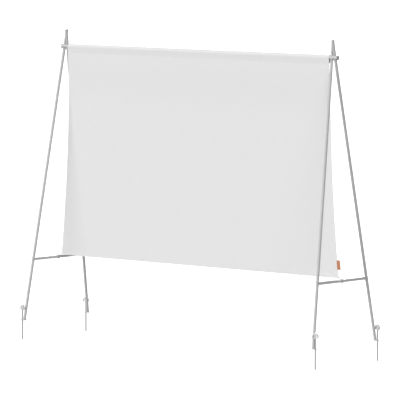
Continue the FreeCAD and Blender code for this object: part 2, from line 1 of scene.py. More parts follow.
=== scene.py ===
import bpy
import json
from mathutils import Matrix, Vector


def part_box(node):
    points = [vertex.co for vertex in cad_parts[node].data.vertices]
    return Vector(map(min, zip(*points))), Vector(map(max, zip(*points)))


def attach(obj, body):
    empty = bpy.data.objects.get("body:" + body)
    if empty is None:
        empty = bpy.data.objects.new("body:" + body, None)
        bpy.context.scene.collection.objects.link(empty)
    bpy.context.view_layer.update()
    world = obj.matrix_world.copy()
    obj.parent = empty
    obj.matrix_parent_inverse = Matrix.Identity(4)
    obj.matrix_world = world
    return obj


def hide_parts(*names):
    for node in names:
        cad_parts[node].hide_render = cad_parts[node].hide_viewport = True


bl_info = {
    "name": "Portable Projection Screen",
    "version": (1, 0, 0),
    "blender": (4, 5, 0),
    "location": "View3D > Sidebar > Screen",
    "description": "Dresses a packed projection screen: cloth, ties, welds, finishes and a stage",
    "category": "Object",
}

import json
import math
import random

import bpy
from bpy.props import FloatProperty, FloatVectorProperty, IntProperty, PointerProperty
from mathutils import Matrix, Vector, noise

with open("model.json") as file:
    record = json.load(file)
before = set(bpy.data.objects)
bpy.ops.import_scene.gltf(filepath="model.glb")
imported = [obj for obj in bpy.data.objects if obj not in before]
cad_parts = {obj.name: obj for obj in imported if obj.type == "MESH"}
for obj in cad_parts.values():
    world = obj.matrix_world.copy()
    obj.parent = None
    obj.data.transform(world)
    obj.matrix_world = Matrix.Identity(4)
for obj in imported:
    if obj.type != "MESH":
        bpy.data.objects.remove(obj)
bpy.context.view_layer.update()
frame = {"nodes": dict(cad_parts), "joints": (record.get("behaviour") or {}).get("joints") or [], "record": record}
RECORD = frame["record"]
MM = 0.001
LEG_NAMES = ("front_left", "front_right", "rear_left", "rear_right")
SIDES = (("left", -1), ("right", 1))
ROOT_BODY = "bar_and_screen"


# Places read from the frame


def middle_of(node):
    low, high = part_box(node)
    return (low + high) / 2


def extent_of(node):
    low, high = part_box(node)
    return high - low


BAR_AXIS_HEIGHT = middle_of("top_bar").z
BAR_RADIUS = extent_of("top_bar").z / 2
CLOTH_LOW, CLOTH_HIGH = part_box("screen_cloth")
CLOTH_DROP = BAR_AXIS_HEIGHT - CLOTH_LOW.z
CLOTH_TIP = CLOTH_HIGH.x
SPREADER_RADIUS = extent_of("spreader_tube_left").z / 2
SPREADER_HEIGHT = middle_of("spreader_tube_left").z
TAG_LOW, TAG_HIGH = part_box("side_tag")
FOOT_PLATE_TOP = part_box("leg_tube_front_left")[0].z


def leg_line(name):
    """A point of a leg's axis, at its sole, and the direction up the leg."""
    sole = next(m for m in RECORD["mounts"] if m["name"] == f"sole_{name}")
    joint = next(j for j in frame["joints"] if j["name"] == f"leg_slide_{name}")
    return Vector(sole["pos_m"]), -Vector(joint["axis"]).normalized()


def leg_at(name, height):
    """The point of a leg's axis at a height."""
    sole, up = leg_line(name)
    return sole + up * ((height - sole.z) / up.z)


# Sizes and colours that a user would change


def length(label, text, millimetres):
    return FloatProperty(name=label, description=text, default=millimetres * MM, unit="LENGTH",
                         precision=5)


def angle(label, text, degrees):
    return FloatProperty(name=label, description=text, default=math.radians(degrees),
                         subtype="ANGLE")


def number(label, text, value):
    return FloatProperty(name=label, description=text, default=value, min=0.0)


def count(label, text, value, least):
    return IntProperty(name=label, description=text, default=value, min=least)


def colour(label, text, value):
    return FloatVectorProperty(name=label, description=text, default=value, subtype="COLOR",
                               size=3, min=0.0, max=1.0)


class ScreenClothSizes(bpy.types.PropertyGroup):
    thickness: length("Fabric", "Thickness of one layer of the cloth", 0.8)
    sleeve_radius: length("Sleeve Radius", "Middle of the fabric from the top tube's axis",
                          BAR_RADIUS / MM + 1.3)
    seam_drop: length("Seam", "Sleeve's seam below the top tube's axis", 36)
    seam_ahead: length("Seam Ahead", "Sleeve's seam in front of the top tube's axis", 8.5)
    settle: length("Settle", "Height in which the cloth comes back under the tube", 300)
    flap: length("Flap", "Turned edge below the sleeve's seam, at the back", 14)
    top_half: length("Half Width", "Half the cloth's width at the top tube", 962)
    flare: length("Flare", "A side edge further out at the bottom, its corner apart", 62.8)
    hollow: length("Hollow", "How hollow a side edge is, beside its flare", 7.4)
    corner_reach: length("Corner Pull", "Height in which a lower corner is pulled out", 9)
    hem: length("Hem", "Width of the hems", 22)
    layer_gap: number("Layer Gap", "From layer to layer of a hem, in thicknesses of fabric", 1.12)
    wave: length("Waves", "Height of the soft waves in the hanging cloth", 1.1)
    pucker: length("Puckers", "Height of the puckers along the sleeve's seam", 0.35)
    pucker_pitch: length("Pucker Pitch", "Distance between puckers", 34)
    stitch_pitch: length("Stitch Pitch", "Distance from stitch to stitch", 6)
    stitch_length: length("Stitch", "Length of a stitch", 4.4)
    thread: length("Thread", "Thickness of the thread", 0.5)
    columns: count("Columns", "Steps across the cloth", 290, 20)
    sleeve_rows: count("Sleeve Rows", "Steps round the sleeve", 36, 12)
    drop_rows: count("Drop Rows", "Steps down the cloth", 84, 10)
    seed: count("Seed", "Draw of the waves and puckers", 7, 0)


class ScreenTieSizes(bpy.types.PropertyGroup):
    cord: length("Cord", "Diameter of a corner tie's cord", 4)
    clearance: length("Clearance", "Cord clear of the spreader", 0.25)
    sewn: length("Sewn Length", "Cord inside the cloth's corner", 9)
    slant: length("Slant", "Sideways climb of the cord round the spreader", 4)
    lay: length("Lay", "Length of one twist of the cord's strands", 13)
    knot_radius: length("Knot", "Radius of the knot's middle line", 2.9)
    tail: length("Tail", "Loose end behind the knot", 11)


class ScreenFrameSizes(bpy.types.PropertyGroup):
    weld: length("Weld", "Height of the weld beads at the feet", 1.5)
    spreader_weld: length("Spreader Weld", "Height of the beads at the spreaders' eyes", 1.2)
    ripples: count("Ripples", "Ripples round a weld bead", 15, 3)


class ScreenColours(bpy.types.PropertyGroup):
    paint: colour("Frame Paint", "Powder coat of the tubes", (0.52, 0.52, 0.525))
    cap: colour("Caps", "Plastic of the end caps and plugs", (0.45, 0.45, 0.455))
    foot: colour("Feet", "Coat of the foot plates", (0.52, 0.52, 0.525))
    steel: colour("Pegs", "Galvanised steel of the pegs", (0.38, 0.38, 0.385))
    plastic: colour("Peg Heads", "Plastic of the pegs' heads", (0.72, 0.72, 0.71))
    fabric: colour("Screen", "Screen cloth", (0.80, 0.80, 0.80))
    ribbon: colour("Tag", "Ribbon tag", (0.55, 0.225, 0.12))
    cord: colour("Ties", "Cord of the corner ties", (0.60, 0.60, 0.595))
    floor: colour("Floor", "Pale floor", (0.30, 0.30, 0.30))


class ScreenStage(bpy.types.PropertyGroup):
    camera_place: FloatVectorProperty(name="Camera", description="Place of the camera", size=3,
                                      subtype="TRANSLATION", unit="LENGTH",
                                      default=(14.977, -17.986, 2.919))
    azimuth: angle("Azimuth", "Camera's turn round the screen", 39.732)
    elevation: angle("Elevation", "Camera's height above the horizon", 5.03)
    lens: number("Lens", "Focal length in millimetres", 372.1)
    fill: number("Fill", "Strength of the even light from all round", 0.115)
    front: number("Front", "Strength of the light in front", 2.3)
    side: number("Side", "Strength of the light from the right", 1.2)
    back: number("Back", "Strength of the light behind", 2.7)
    spread: angle("Spread", "Width of each light, seen from the screen", 40)


# Helpers for meshes

FRAME_CREASE, FABRIC_CREASE, ROUND_CREASE = 35, 50, 60  # sharper edges than these stay sharp


def only_select(piece):
    bpy.ops.object.select_all(action="DESELECT")
    piece.select_set(True)
    bpy.context.view_layer.objects.active = piece


def add_primitive(operator, name, **settings):
    """The mesh that an operator adds, named and with its place applied."""
    bpy.ops.object.select_all(action="DESELECT")
    operator(**settings)
    piece = bpy.context.active_object
    piece.name = piece.data.name = name
    bpy.ops.object.transform_apply(location=True, rotation=True, scale=True)
    return piece


def smooth(piece, degrees):
    only_select(piece)
    bpy.ops.object.shade_smooth_by_angle(angle=math.radians(degrees))


def add_sheet(name, columns, rows, thickness, place, fabric_place, crease=FABRIC_CREASE):
    """A sheet of that many steps: place gives each point from its shares across and along, and
    fabric_place its coordinates on the flat fabric, in metres, for the weave."""
    sheet = add_primitive(bpy.ops.mesh.primitive_grid_add, name, x_subdivisions=columns,
                          y_subdivisions=rows, size=2)
    shares = [((v.co.x + 1) / 2, (v.co.y + 1) / 2) for v in sheet.data.vertices]
    for vertex, (across, along) in zip(sheet.data.vertices, shares):
        vertex.co = place(across, along)
    uv = sheet.data.uv_layers[0]
    uv.name = "fabric"
    for loop in sheet.data.loops:
        uv.data[loop.index].uv = fabric_place(*shares[loop.vertex_index])
    layer = sheet.modifiers.new("thickness", "SOLIDIFY")
    layer.thickness = thickness
    layer.offset = 0.0
    only_select(sheet)
    bpy.ops.object.modifier_apply(modifier=layer.name)
    smooth(sheet, crease)
    return sheet


def add_object(name, data):
    item = bpy.data.objects.new(name, data)
    bpy.context.scene.collection.objects.link(item)
    return item


def add_mesh(name, vertices, faces):
    mesh = bpy.data.meshes.new(name)
    mesh.from_pydata(vertices, [], faces)
    return add_object(name, mesh)


# Screen cloth

GATHER = 0.9  # how far rows are drawn to both ends of a length, under 1
BROAD_WAVE, FINE_WAVE = 6.3, 14.1  # waves across the cloth, in radians to a metre
FINE_WAVE_SHARE = 0.6  # height of the finer waves beside the broad ones
FINE_WAVE_SLANT = 2  # their shift from the seam to the lower edge, in radians
WAVE_SHARE = 0.6  # height of the broad waves, of the size given
WAVE_ROUNDNESS = 0.7  # how evenly the waves swell down the cloth
WAVE_START = 12  # they begin in the first twelfth of the drop
FOLDS = 11  # folds that fan out from a corner, in radians to a radian
FOLD_SHARE = 0.8  # their height, of the waves' size
FOLD_REACH, FOLD_START = 160 * MM, 20 * MM
PUCKER_CHANGE = 23  # changes of the puckers along the seam, to a metre
PUCKER_SHIFT = 4  # how unevenly they follow each other, in radians
PUCKER_LOW, PUCKER_RANGE = 0.6, 0.8
PUCKER_REACH = 9 * MM
STEP_ONTO_HEM = 6 * MM  # width in which the lower hem rises onto a side hem
TIE_LIFT, TIE_REACH = 0.7 * MM, 11 * MM
HEM_INSET = 0.3 * MM  # hems stay this far inside the cloth's edges
JUST_BELOW = 0.01 * MM  # so that a hem's first row is in the drop
BOTTOM_HEM_WIDTH = 0.9995
SIDE_HEM_STEPS, BOTTOM_HEM_STEPS = (6, 120), (8, 340)


def gathered(share):
    """A share of a length, with equal steps drawn together towards both of its ends."""
    return share - GATHER * math.sin(math.tau * share) / math.tau


class ClothShape:
    """Where each point of the cloth lies. Distances run up the back flap, over the top tube and
    down the front to the lower edge, along the middle of the fabric."""

    def __init__(self, sizes):
        self.sizes = sizes
        radius, drop = sizes.sleeve_radius, sizes.seam_drop
        self.seam = Vector((-sizes.seam_ahead, -drop))
        self.lean = math.atan2(sizes.seam_ahead, drop)
        self.slope = math.asin(radius / self.seam.length)
        self.tangent = self.seam.length * math.cos(self.slope)
        self.back_start = sizes.flap
        self.arc_start = self.back_start + self.tangent
        self.arc = radius * (math.pi + 2 * self.slope)
        self.front_start = self.arc_start + self.arc
        self.drop_start = self.front_start + self.tangent
        self.end = self.drop_start + CLOTH_DROP - drop
        random.seed(sizes.seed)
        self.broad_phase, self.fine_phase, self.fold_phase, self.pucker_phase = (
            random.uniform(0, math.tau) for _ in range(4))

    def distance(self, along):
        """The distance of a row, with the sleeve's rows closer together than the drop's."""
        sleeve_share = self.sizes.sleeve_rows / (self.sizes.sleeve_rows + self.sizes.drop_rows)
        if along <= sleeve_share:
            return self.drop_start * along / sleeve_share
        below = gathered((along - sleeve_share) / (1 - sleeve_share))
        return self.drop_start + (self.end - self.drop_start) * below

    def section(self, distance):
        """Depth and height from the top tube's axis, across the middle of the fabric."""
        layer = Vector((self.sizes.thickness / 2, 0))
        if distance < self.back_start:
            return self.hanging(self.back_start - distance) + layer
        if distance < self.arc_start:
            share = (distance - self.back_start) / self.tangent
            return (self.seam + layer).lerp(self.on_tube(0), share)
        if distance < self.front_start:
            return self.on_tube((distance - self.arc_start) / self.arc)
        if distance < self.drop_start:
            share = (distance - self.front_start) / self.tangent
            return self.on_tube(1).lerp(self.seam - layer, share)
        return self.hanging(distance - self.drop_start) - layer

    def on_tube(self, share):
        """The point at a share of the way over the tube, from where the back leaves it."""
        turn = -self.slope - self.lean + (math.pi + 2 * self.slope) * share
        return Vector((math.cos(turn), math.sin(turn))) * self.sizes.sleeve_radius

    def hanging(self, below_seam):
        """The middle of the cloth below the seam, as it settles back under the tube's axis."""
        share = min(below_seam / self.sizes.settle, 1)
        return Vector((self.seam.x * (1 - share * share * (3 - 2 * share)),
                       self.seam.y - below_seam))

    def half_width(self, below_bar):
        """Half the cloth's width at a distance below the top tube's axis."""
        sizes = self.sizes
        share = max(below_bar, 0) / CLOTH_DROP
        tip_pull = CLOTH_TIP - sizes.top_half - sizes.flare
        corner = math.exp(-(CLOTH_DROP - below_bar) / sizes.corner_reach)
        curve = sizes.flare * share ** 2 - sizes.hollow * share * (1 - share)
        return sizes.top_half + curve + tip_pull * corner

    def wave(self, x, below_bar):
        """How far the hanging cloth stands behind its plane: soft waves, and folds from the pull
        of the lower corners."""
        sizes = self.sizes
        share = min(max((below_bar - sizes.seam_drop) / (CLOTH_DROP - sizes.seam_drop), 0), 1)
        broad = math.sin(x * BROAD_WAVE + self.broad_phase)
        fine = math.sin(x * FINE_WAVE + self.fine_phase + FINE_WAVE_SLANT * share)
        swell = math.sin(math.pi * share) ** WAVE_ROUNDNESS
        offset = sizes.wave * (broad + FINE_WAVE_SHARE * fine) * WAVE_SHARE * swell
        for _, side in SIDES:
            away = Vector((x - side * CLOTH_TIP, CLOTH_DROP - below_bar))
            turn = math.atan2(away.y, -side * away.x)
            fade = math.exp(-away.length / FOLD_REACH) * min(away.length / FOLD_START, 1)
            offset += sizes.wave * FOLD_SHARE * fade * math.sin(FOLDS * turn + self.fold_phase)
        return offset * min(share * WAVE_START, 1)

    def pucker(self, x, distance):
        """Small puckers along the sleeve's seam."""
        sizes = self.sizes
        away = abs(distance - self.drop_start)
        if distance < self.arc_start:
            away = abs(distance - self.back_start)
        uneven = noise.noise(Vector((x * PUCKER_CHANGE, 0, self.pucker_phase)))
        swing = math.sin(math.tau * x / sizes.pucker_pitch + PUCKER_SHIFT * uneven)
        height = sizes.pucker * swing * (PUCKER_LOW + PUCKER_RANGE * uneven)
        return height * math.exp(-away / PUCKER_REACH)

    def point(self, x_share, distance):
        """The place of a point at a share across, from -1 to 1, and a distance."""
        depth, height = self.section(distance)
        x = x_share * self.half_width(-height)
        depth += self.pucker(x, distance)
        if distance > self.drop_start or distance < self.back_start:
            depth += self.wave(x, -height)
        return Vector((x, depth, BAR_AXIS_HEIGHT + height))

    def drop_distance(self, below_bar):
        return self.drop_start + below_bar - self.sizes.seam_drop

    def hem_layer(self, x=0.0, below_bar=0.0):
        """How far the middle of a hem lies behind the middle of the cloth: the lower hem lies over
        the side hems, and its ends over the sewn ends of the corner ties."""
        sizes = self.sizes
        inside = self.half_width(below_bar) - sizes.hem - abs(x)
        over_side = min(max(1 - inside / STEP_ONTO_HEM, 0), 1) if below_bar else 0
        to_corner = Vector((CLOTH_TIP - abs(x), CLOTH_DROP - below_bar)).length
        over_tie = TIE_LIFT * math.exp(-(to_corner / TIE_REACH) ** 2)
        return sizes.layer_gap * sizes.thickness * (1 + over_side) + over_tie


def build_cloth(shape):
    """The cloth as one sheet: back flap, sleeve over the top tube and the drop."""
    sizes = shape.sizes
    return add_sheet(
        "screen_cloth_fabric", sizes.columns, sizes.sleeve_rows + sizes.drop_rows, sizes.thickness,
        lambda across, along: shape.point(2 * across - 1, shape.distance(along)),
        lambda across, along: ((2 * across - 1) * sizes.top_half, shape.distance(along)))


def build_side_hem(shape, label, side):
    """The hem along one side edge, from the sleeve's seam to the lower corner."""
    sizes = shape.sizes
    run = CLOTH_DROP - sizes.seam_drop

    def place(across, along):
        below = sizes.seam_drop + run * gathered(along)
        edge = shape.half_width(below)
        x = side * (edge - HEM_INSET - (sizes.hem - HEM_INSET) * across)
        base = shape.point(x / edge, shape.drop_distance(below) + JUST_BELOW)
        return base + Vector((0, shape.hem_layer(), 0))

    return add_sheet(f"side_hem_{label}", *SIDE_HEM_STEPS, sizes.thickness, place,
                     lambda across, along: (across * sizes.hem, along * run))


def build_bottom_hem(shape):
    """The hem along the lower edge, over the two side hems."""
    sizes = shape.sizes

    def place(across, along):
        below = CLOTH_DROP - HEM_INSET - (sizes.hem - HEM_INSET) * across
        base = shape.point((2 * along - 1) * BOTTOM_HEM_WIDTH, shape.drop_distance(below))
        return base + Vector((0, shape.hem_layer(base.x, below), 0))

    return add_sheet("bottom_hem", *BOTTOM_HEM_STEPS, sizes.thickness, place,
                     lambda across, along: (along * 2 * CLOTH_TIP, across * sizes.hem))


# Stitching

STITCH_BODY, STITCH_END = 0.7, 0.4  # straight part of a stitch, and the width of its ends
STITCH_RISE = 0.35  # how far a thread's middle stands out, in thicknesses
ROW_SAMPLES = 200  # steps in which a row is measured
ROW_TURN = 0.4  # a stitch lies along the row from this much before and after
SEAM_INSET, SEAM_ROW_GAP = 1.5 * MM, 5 * MM
HEM_ROW_INSET = 3 * MM  # rows inside a hem's inner edge
SIDE_ROW_TOP, SIDE_ROW_ENDS = 8 * MM, 12 * MM
SEAM_ROW_WIDTH, BOTTOM_ROW_WIDTH = 0.9985, 0.997


def add_stitch(sizes):
    """One stitch: a short thread with drawn-in ends, along X."""
    stitch = add_primitive(bpy.ops.mesh.primitive_cylinder_add, "stitch", vertices=6,
                           radius=sizes.thread / 2, depth=STITCH_BODY * sizes.stitch_length,
                           end_fill_type="NGON", rotation=(0, math.radians(90), 0))
    bpy.ops.object.mode_set(mode="EDIT")
    bpy.ops.mesh.select_mode(type="FACE")
    bpy.ops.mesh.select_all(action="DESELECT")
    bpy.ops.object.mode_set(mode="OBJECT")
    reach = (1 - STITCH_BODY) / 2 * sizes.stitch_length
    for side in (-1, 1):
        for face in stitch.data.polygons:
            face.select = face.normal.x * side > 0.9
        bpy.ops.object.mode_set(mode="EDIT")
        bpy.ops.mesh.extrude_region_move(TRANSFORM_OT_translate={"value": (side * reach, 0, 0)})
        bpy.ops.transform.resize(value=(1, STITCH_END, STITCH_END))
        bpy.ops.mesh.select_all(action="DESELECT")
        bpy.ops.object.mode_set(mode="OBJECT")
    return stitch


def lying_along(origin, direction):
    """A place at origin whose X lies along a direction, and whose Y points backwards."""
    x = direction.normalized()
    z = x.cross(Vector((0, 1, 0))).normalized()
    turned = Matrix((x, z.cross(x), z)).transposed().to_4x4()
    turned.translation = origin
    return turned


def stitch_row(sizes, line, facing):
    """Places for stitches along a line, a function of a share, half sunk in the fabric."""
    points = [line(step / ROW_SAMPLES) for step in range(ROW_SAMPLES + 1)]
    total = sum((b - a).length for a, b in zip(points, points[1:]))
    stitches = int(total / sizes.stitch_pitch)
    turn = ROW_TURN / stitches
    lift = Vector((0, facing, 0)) * (sizes.thread * STITCH_RISE)
    places = []
    for place in range(stitches):
        share = (place + 0.5) / stitches
        direction = line(min(share + turn, 1)) - line(max(share - turn, 0))
        places.append(lying_along(line(share) + lift, direction))
    return places


def repeat(name, source, places):
    """Copies of a small mesh at those places, as one object. The source is removed."""
    vertices, faces = [], []
    shape = [v.co.copy() for v in source.data.vertices]
    sides = [tuple(p.vertices) for p in source.data.polygons]
    for place in places:
        first = len(vertices)
        vertices += [place @ point for point in shape]
        faces += [tuple(first + corner for corner in side) for side in sides]
    bpy.data.objects.remove(source)
    return add_mesh(name, vertices, faces)


def build_stitching(shape):
    """Rows of stitches on both faces: two along the sleeve's seam, one along each hem."""
    sizes = shape.sizes
    half = sizes.thickness / 2
    inset = sizes.hem - HEM_ROW_INSET
    seam_rows, side_rows, bottom_rows = [], [], []
    for facing in (-1, 1):
        def on_face(place, layers):
            """The point on the face of the fabric, behind its further layers at the back."""
            return place + Vector((0, layers + half if facing > 0 else -half, 0))

        for row in (0, 1):
            def seam_line(share, below=sizes.seam_drop + SEAM_INSET + row * SEAM_ROW_GAP):
                across = SEAM_ROW_WIDTH * (2 * share - 1)
                return on_face(shape.point(across, shape.drop_distance(below)), sizes.thickness)
            seam_rows += stitch_row(sizes, seam_line, facing)

        for _, side in SIDES:
            def side_line(share, side=side):
                run = CLOTH_DROP - sizes.seam_drop - SIDE_ROW_ENDS
                below = sizes.seam_drop + SIDE_ROW_TOP + run * share
                edge = shape.half_width(below)
                place = shape.point(side * (edge - inset) / edge, shape.drop_distance(below))
                return on_face(place, shape.hem_layer())
            side_rows += stitch_row(sizes, side_line, facing)

        def bottom_line(share, below=CLOTH_DROP - inset):
            place = shape.point(BOTTOM_ROW_WIDTH * (2 * share - 1), shape.drop_distance(below))
            return on_face(place, shape.hem_layer(place.x, below))
        bottom_rows += stitch_row(sizes, bottom_line, facing)
    return [repeat(name, add_stitch(sizes), rows) for name, rows in
            (("sleeve_stitching", seam_rows), ("side_stitching", side_rows),
             ("bottom_stitching", bottom_rows))]


# Ribbon tag

TAG_THICKNESS = 0.7 * MM
TAG_CLEAR = 0.6  # clear of the cloth, in thicknesses of the ribbon
TAG_BULGE, TAG_BULGE_TURN = 1.1 * MM, 1.15
TAG_CLOSING = 6  # its layers come together in the last sixth of the way to the fold
TAG_ROUNDNESS = 0.9
TAG_FLUTTER, FLUTTER_TURN, FLUTTER_START = 0.5 * MM, 3.1, 1.2
TAG_STEPS = 40, 24


def build_tag(shape):
    """A ribbon folded over the cloth's right edge, its loop a little open."""
    in_front = shape.sizes.thickness / 2 + TAG_THICKNESS * TAG_CLEAR
    behind = in_front + shape.hem_layer()
    size = TAG_HIGH - TAG_LOW
    middle_edge = shape.half_width(BAR_AXIS_HEIGHT - (TAG_LOW.z + TAG_HIGH.z) / 2)

    def place(across, along):
        z = TAG_LOW.z + size.z * along
        below = BAR_AXIS_HEIGHT - z
        edge = shape.half_width(below)
        x_start = TAG_LOW.x + edge - middle_edge
        x_end = TAG_HIGH.x + edge - middle_edge - TAG_THICKNESS
        around = 2 * across - 1
        out = 1 - abs(around)
        facing, gap = (-1, in_front) if around < 0 else (1, behind)
        bulge = TAG_BULGE * math.sin(math.pi * min(out * TAG_BULGE_TURN, 1)) ** 2
        depth = (gap + bulge) * min((1 - out) * TAG_CLOSING, 1) ** 0.5
        base = shape.point(min(x_start / edge, 1), shape.drop_distance(below))
        x = x_start + (x_end - x_start) * math.sin(out * math.pi / 2) ** TAG_ROUNDNESS
        flutter = TAG_FLUTTER * math.sin(FLUTTER_TURN * along + FLUTTER_START) * out
        return Vector((x, base.y + facing * depth + flutter, z))

    return add_sheet("side_tag_ribbon", *TAG_STEPS, TAG_THICKNESS, place,
                     lambda across, along: (across * 2 * size.x, along * size.z), ROUND_CREASE)


# Corner ties

KNOT_SHARE = 0.36  # where the knot sits, from the corner to the spreader
LOOP_START, LOOP_STEP, LOOP_POINTS = math.radians(100), math.radians(60), 5
STRANDS, STRAND_SIDES, LAY_STEPS = 3, 8, 14
STRAND_RADIUS = 0.29  # of the cord's thickness
KNOT_CORD = 0.8  # thickness and lay of the knot's cord, beside the tie's
KNOT_FLATNESS = 2.2
LOOP_BELOW, LOOP_ASIDE = 0.5, 0.3  # where the loop meets the knot, in cords and in slants
KNOT_START, KNOT_OPENING = math.radians(40), math.radians(60)
KNOT_STEPS, TAIL_STEPS = 30, 5


def tie_route(sizes, label, side):
    """Control points of one tie, out of the cloth's corner, round the spreader and back to the
    knot, with the knot's place and the directions along the tie and above it."""
    corner = Vector((side * CLOTH_TIP, 0, CLOTH_LOW.z))
    front, rear = (leg_at(f"{end}_{label}", SPREADER_HEIGHT) for end in ("front", "rear"))
    centre = (front + rear) / 2
    centre.y = 0
    reach = centre - corner
    along = reach.normalized()
    above = Vector((-along.z, 0, along.x)) * side
    knot = corner + reach * KNOT_SHARE
    ring = (SPREADER_RADIUS + sizes.cord / 2 + sizes.clearance) / math.cos(LOOP_STEP / 2)
    points = [corner - along * sizes.sewn, corner, knot]
    for step in range(LOOP_POINTS):
        turn = LOOP_START - LOOP_STEP * step
        climb = sizes.slant * (step / (LOOP_POINTS - 1) - 0.5)
        points.append(centre + along * (ring * math.cos(turn)) + above * (ring * math.sin(turn))
                      + Vector((0, climb, 0)))
    points.append(knot - above * LOOP_BELOW * sizes.cord
                  + Vector((0, LOOP_ASIDE * sizes.slant, 0)))
    return points, knot, along, above


def smooth_line(name, points):
    """Points along a smooth curve with those control points."""
    curve = bpy.data.curves.new(name, "CURVE")
    curve.dimensions = "3D"
    curve.resolution_u = 12
    spline = curve.splines.new("NURBS")
    spline.points.add(len(points) - 1)
    for control, point in zip(spline.points, points):
        control.co = (*point, 1)
    spline.order_u = 3
    spline.use_endpoint_u = True
    cord = add_object(name, curve)
    bpy.context.view_layer.update()
    line = bpy.data.meshes.new_from_object(cord)
    path = [v.co.copy() for v in line.vertices]
    bpy.data.meshes.remove(line)
    bpy.data.objects.remove(cord)
    return path


def spaced(path, step):
    """Points at an even distance along a path."""
    result, carried = [path[0].copy()], 0.0
    for start, end in zip(path, path[1:]):
        run = (end - start).length
        while carried + run >= step:
            start = start.lerp(end, (step - carried) / run)
            run = (end - start).length
            result.append(start.copy())
            carried = 0.0
        carried += run
    return result


def twisted_cord(name, path, thickness, lay):
    """Strands twisted round a path, as one mesh, with closed ends."""
    points = spaced(path, lay / LAY_STEPS)
    radius = thickness * STRAND_RADIUS
    offset = thickness / 2 - radius
    frames, across = [], None
    for index, point in enumerate(points):
        ahead = points[min(index + 1, len(points) - 1)] - points[max(index - 1, 0)]
        tangent = ahead.normalized()
        if across is None:
            across = tangent.orthogonal().normalized()
        across = (across - tangent * across.dot(tangent)).normalized()
        frames.append((point, across, tangent.cross(across)))
    vertices, faces = [], []
    for strand in range(STRANDS):
        first = len(vertices)
        for index, (point, across, up) in enumerate(frames):
            turn = math.tau * (index / LAY_STEPS + strand / STRANDS)
            centre = point + (across * math.cos(turn) + up * math.sin(turn)) * offset
            for corner in range(STRAND_SIDES):
                turn = math.tau * corner / STRAND_SIDES
                vertices.append(centre + (across * math.cos(turn) + up * math.sin(turn)) * radius)
        for index in range(len(frames) - 1):
            start = first + index * STRAND_SIDES
            for corner in range(STRAND_SIDES):
                a, b = start + corner, start + (corner + 1) % STRAND_SIDES
                faces.append((a, b, b + STRAND_SIDES, a + STRAND_SIDES))
        last = first + (len(frames) - 1) * STRAND_SIDES
        faces.append(tuple(first + corner for corner in reversed(range(STRAND_SIDES))))
        faces.append(tuple(last + corner for corner in range(STRAND_SIDES)))
    cord = add_mesh(name, vertices, faces)
    smooth(cord, ROUND_CREASE)
    return cord


def knot_path(sizes, place, along, above):
    """An overhand knot round the cord, and its loose tail."""
    across = along.cross(above)
    points = []
    for step in range(KNOT_STEPS + 1):
        turn = KNOT_START + (math.tau - KNOT_OPENING) * step / KNOT_STEPS
        x = (math.sin(turn) + 2 * math.sin(2 * turn)) / 3
        y = (math.cos(turn) - 2 * math.cos(2 * turn)) / 3
        z = -math.sin(3 * turn) / KNOT_FLATNESS
        points.append(place + (across * x + above * y + along * z) * sizes.knot_radius)
    down = Vector((0, 0, -1))
    out = (points[-1] - points[-2]).normalized()
    for step in range(1, TAIL_STEPS + 1):
        share = step / TAIL_STEPS
        ahead = (out * (1 - share) + down * share).normalized()
        points.append(points[-1] + ahead * sizes.tail / TAIL_STEPS)
    return points


# Welds

BEAD_SIDES = 10  # faces round a bead's section
FOOT_WELD_STEPS, EYE_WELD_STEPS = 60, 48
FOOT_WELD_OUT, EYE_WELD_OUT = 0.2, 0.15  # a bead's middle outside its tube, in its heights
FOOT_RIPPLE, EYE_RIPPLE = 0.13, 0.12
FOOT_SWELL, FOOT_SWELLS = 0.05, 5
FOOT_SINK, EYE_SINK = 0.2 * MM, 0.5 * MM


def add_bead(name, steps, ring, height, place=(0, 0, 0)):
    """A plain ring, before it gets its ripples and its seat."""
    return add_primitive(bpy.ops.mesh.primitive_torus_add, name, major_segments=steps,
                         minor_segments=BEAD_SIDES, major_radius=ring, minor_radius=height,
                         location=place)


def build_foot_weld(sizes, name):
    """The rippled bead where a leg stands on its foot plate."""
    place = leg_at(name, FOOT_PLATE_TOP)
    ring = extent_of(f"leg_cap_{name}").x / 2 + FOOT_WELD_OUT * sizes.weld
    weld = add_bead(f"foot_weld_{name}", FOOT_WELD_STEPS, ring, sizes.weld, place)
    for vertex in weld.data.vertices:
        offset = vertex.co - place
        turn = math.atan2(offset.y, offset.x)
        flat = Vector((math.cos(turn), math.sin(turn), 0)) * ring
        ripple = FOOT_RIPPLE * math.sin(turn * sizes.ripples)
        swell = 1 + ripple + FOOT_SWELL * math.sin(turn * FOOT_SWELLS)
        vertex.co = place + flat + (offset - flat) * swell
        vertex.co.z = max(vertex.co.z, FOOT_PLATE_TOP - FOOT_SINK)
    smooth(weld, ROUND_CREASE)
    return weld


def build_eye_weld(sizes, name):
    """The saddle-shaped bead where a spreader meets its eye."""
    end, side = name.split("_")
    other = ("rear" if end == "front" else "front") + "_" + side
    place = leg_at(name, SPREADER_HEIGHT)
    along = (leg_at(other, SPREADER_HEIGHT) - place).normalized()
    _, up = leg_line(name)
    across = along.cross(up).normalized()
    upright = across.cross(along)
    eye_radius = extent_of(f"spreader_eye_{name}").x / 2 - EYE_SINK
    ring = SPREADER_RADIUS + EYE_WELD_OUT * sizes.spreader_weld
    weld = add_bead(f"spreader_weld_{name}", EYE_WELD_STEPS, ring, sizes.spreader_weld)
    for vertex in weld.data.vertices:
        x, y, z = vertex.co
        turn = math.atan2(y, x)
        swell = 1 + EYE_RIPPLE * math.sin(turn * sizes.ripples)
        x = ring * math.cos(turn) + (x - ring * math.cos(turn)) * swell
        y = ring * math.sin(turn) + (y - ring * math.sin(turn)) * swell
        seat = math.sqrt(max(eye_radius ** 2 - min(abs(x), eye_radius) ** 2, 0))
        vertex.co = place + across * x + upright * y + along * (seat + z * swell)
    smooth(weld, ROUND_CREASE)
    return weld


# Finishes

